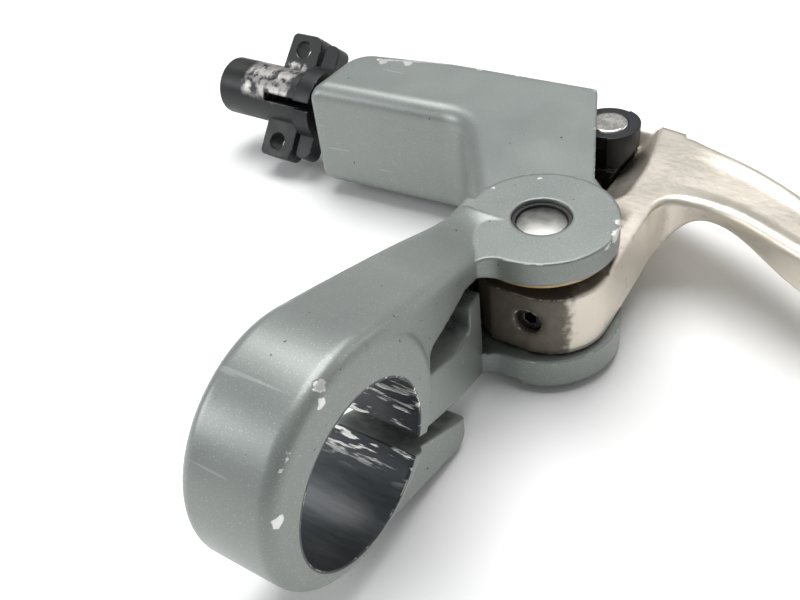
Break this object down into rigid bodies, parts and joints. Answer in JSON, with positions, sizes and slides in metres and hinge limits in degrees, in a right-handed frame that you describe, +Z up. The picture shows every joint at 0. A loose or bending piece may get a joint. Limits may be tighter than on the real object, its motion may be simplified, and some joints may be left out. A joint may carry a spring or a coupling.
{
  "type": "brake lever",
  "caption": "Right-hand cable brake lever for a flat handlebar, with a curved finger blade, bar clamp, sliding cable hook and winged barrel adjuster.",
  "frame": {"origin": "centre of the handlebar clamp bore", "axes": "+X along the bar, outboard towards the blade's tip; +Y forward from the bar to the lever pivot; +Z up along the lever pivot"},
  "size_m": [0.1763, 0.0972, 0.0349],
  "materials": {
    "bracket_paint": "satin",
    "lever_alloy": "satin",
    "black_anodised": "satin",
    "black_plastic": "matte",
    "steel_bright": "brushed",
    "steel_dark": "satin",
    "brass": "satin"
  },
  "bodies": {
    "bracket": {"bracket": "bracket_paint", "clamp_bolt": "steel_dark", "clamp_washer": "steel_bright", "barrel_insert": "brass", "upper_pivot_bush": "black_plastic", "lower_pivot_bush": "black_plastic", "thrust_washer": "brass", "spacer_washer": "steel_bright", "lower_washer": "steel_bright", "return_spring": "steel_bright"},
    "reach": {"reach_screw": "steel_dark"},
    "lever": {"lever_blade": "lever_alloy", "pivot_pin": "steel_bright", "pivot_clip": "steel_dark", "pin_grub_screw": "steel_dark", "leverage_block": "black_anodised"},
    "leverage": {"leverage_screw": "brass"},
    "carrier": {"hook_carrier": "black_anodised", "carrier_lock_screw": "steel_dark", "hook_pin": "steel_bright", "hook_bush": "brass"},
    "hook": {"cable_hook": "black_anodised"},
    "barrel": {"barrel_adjuster": "black_anodised"},
    "nut": {"lock_nut": "black_anodised"}
  },
  "joints": [
    {"name": "lever_swing", "type": "hinge", "parent": "bracket", "child": "lever", "pos_m": [0.0052, 0.0444, -0.0054], "axis": [0, 0, 1], "range_deg": [-24, 0], "stiffness_Nm_per_rad": 0.4, "springref_deg": 14.32},
    {"name": "reach_slide", "type": "slide", "parent": "bracket", "child": "reach", "axis": [1, 0, 0], "range_m": [-0.003, 0]},
    {"name": "leverage_turn", "type": "hinge", "parent": "lever", "child": "leverage", "pos_m": [0.0018, 0.065, -0.0063], "axis": [0, 1, 0], "range_deg": [-1260, 0]},
    {"name": "carrier_slide", "type": "slide", "parent": "lever", "child": "carrier", "axis": [0, 1, 0], "range_m": [-0.002, 0]},
    {"name": "hook_swing", "type": "hinge", "parent": "carrier", "child": "hook", "pos_m": [0.0018, 0.0742, -0.0009], "axis": [0, 0, 1], "range_deg": [0, 25]},
    {"name": "barrel_turn", "type": "hinge", "parent": "bracket", "child": "barrel", "pos_m": [-0.06, 0.0723, -0.0054], "axis": [1, 0, 0], "continuous": true},
    {"name": "nut_turn", "type": "hinge", "parent": "bracket", "child": "nut", "pos_m": [-0.0547, 0.0723, -0.0054], "axis": [1, 0, 0], "continuous": true}
  ],
  "couplings": [
    {"joint": "leverage_turn", "follows": "carrier_slide", "rad_per_m": 10472},
    {"joint": "hook_swing", "follows": "lever_swing", "ratio": -1}
  ]
}
